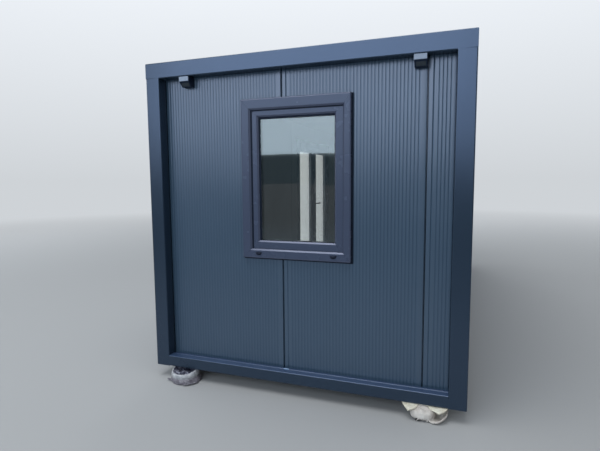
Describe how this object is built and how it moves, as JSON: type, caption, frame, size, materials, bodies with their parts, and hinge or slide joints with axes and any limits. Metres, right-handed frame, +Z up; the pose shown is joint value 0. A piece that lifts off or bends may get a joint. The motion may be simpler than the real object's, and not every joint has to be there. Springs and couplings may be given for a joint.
{
  "type": "office container",
  "caption": "Box-shaped site office cabin with a steel frame, ribbed panel walls, a framed front window, a double glazed side door that opens, and foot pads.",
  "frame": {"origin": "on the ground under the middle of the plan, below the foot pads", "axes": "+Z up, -Y out of the short front wall with the window, -X out of the long wall with the door"},
  "size_m": [2.438, 6.268, 2.538],
  "materials": {
    "frame_paint": "semi-gloss anthracite paint",
    "panel_skin": "semi-gloss anthracite coil coating, micro-ribbed",
    "roof_steel": "galvanised steel, dull",
    "ceiling_board": "matt white board",
    "floor_board": "board with a dull grey cover",
    "window_plastic": "anthracite foil on plastic, satin",
    "glass": "clear double glazing",
    "inlet_plastic": "dark plastic with a pale cover plate",
    "bare_aluminium": "mill finish",
    "black_metal": "black powder coat",
    "pad_film": "grey crumpled film wrap, shiny",
    "pad_foam": "off-white soft foam, matt"
  },
  "bodies": {
    "container": {"corner_post_front_left": "frame_paint", "corner_post_front_right": "frame_paint", "corner_post_back_left": "frame_paint", "corner_post_back_right": "frame_paint", "roof_rail_front": "frame_paint", "roof_rail_back": "frame_paint", "roof_rail_left": "frame_paint", "roof_rail_right": "frame_paint", "bottom_rail_front": "frame_paint", "bottom_rail_back": "frame_paint", "bottom_rail_left": "frame_paint", "bottom_rail_right": "frame_paint", "roof_sheet": "roof_steel", "ceiling_panel": "ceiling_board", "floor_beams": "roof_steel", "floor_deck": "floor_board", "front_panel_left": "panel_skin", "front_panel_middle": "panel_skin", "front_panel_right": "panel_skin", "back_panels": "panel_skin", "right_panels": "panel_skin", "left_panels_back": "panel_skin", "left_panels_front": "panel_skin", "left_panels_over_door": "panel_skin", "wall_foot_flashings": "panel_skin", "window_frame": "window_plastic", "window_sash": "window_plastic", "window_drain_caps": "window_plastic", "window_glass": "glass", "power_inlet_left": "inlet_plastic", "power_inlet_right": "inlet_plastic", "door_frame": "window_plastic", "door_threshold": "bare_aluminium", "hinge_knuckles_frame": "black_metal", "foot_pad_front_left": "pad_film", "foot_pad_front_right": "pad_foam", "foot_pad_back_left": "pad_film", "foot_pad_back_right": "pad_foam"},
    "front_leaf": {"door_leaf_front": "window_plastic", "door_glass_front": "glass", "hinge_knuckles_front_leaf": "black_metal"},
    "back_leaf": {"door_leaf_back": "window_plastic", "door_glass_back": "glass", "door_lock_plates": "black_metal", "hinge_knuckles_back_leaf": "black_metal"},
    "lever": {"door_lever": "black_metal"}
  },
  "joints": [
    {"name": "front_leaf_hinge", "type": "hinge", "parent": "container", "child": "front_leaf", "pos_m": [-1.153, 0.074, 1.2], "axis": [0, 0, 1], "range_deg": [0, 110]},
    {"name": "back_leaf_hinge", "type": "hinge", "parent": "container", "child": "back_leaf", "pos_m": [-1.153, 1.588, 1.2], "axis": [0, 0, -1], "range_deg": [0, 110]},
    {"name": "lever_turn", "type": "hinge", "parent": "back_leaf", "child": "lever", "pos_m": [-1.109, 0.881, 1.242], "axis": [-1, 0, 0], "range_deg": [0, 40], "stiffness_Nm_per_rad": 1, "springref_deg": -45.84}
  ]
}
